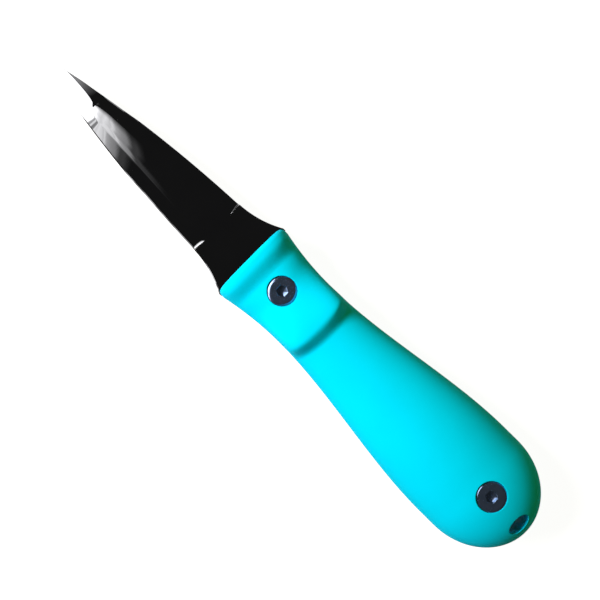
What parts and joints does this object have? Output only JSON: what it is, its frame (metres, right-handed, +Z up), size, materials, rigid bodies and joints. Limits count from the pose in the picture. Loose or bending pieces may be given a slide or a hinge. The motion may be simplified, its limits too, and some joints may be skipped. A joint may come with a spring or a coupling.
{
  "type": "oyster knife",
  "caption": "Short oyster knife with a spear-shaped, bent-tip steel blade, a moulded handle with a thumb rest on each side, recessed screws and a hanging slot.",
  "frame": {"origin": "bottom centre of the knife's box, as it lies flat with its lower handle half underneath", "axes": "+X along the knife towards the blade's tip, +Y across the blade, +Z up through the thickness"},
  "size_m": [0.1906, 0.0344, 0.026],
  "materials": {
    "blade_steel": "polished",
    "handle_plastic": "matte",
    "fastener_steel": "satin"
  },
  "bodies": {
    "root": {"blade": "blade_steel", "upper_handle_scale": "handle_plastic", "lower_handle_scale": "handle_plastic", "front_screw": "fastener_steel", "front_barrel_nut": "fastener_steel", "rear_screw": "fastener_steel", "rear_barrel_nut": "fastener_steel"}
  },
  "joints": []
}
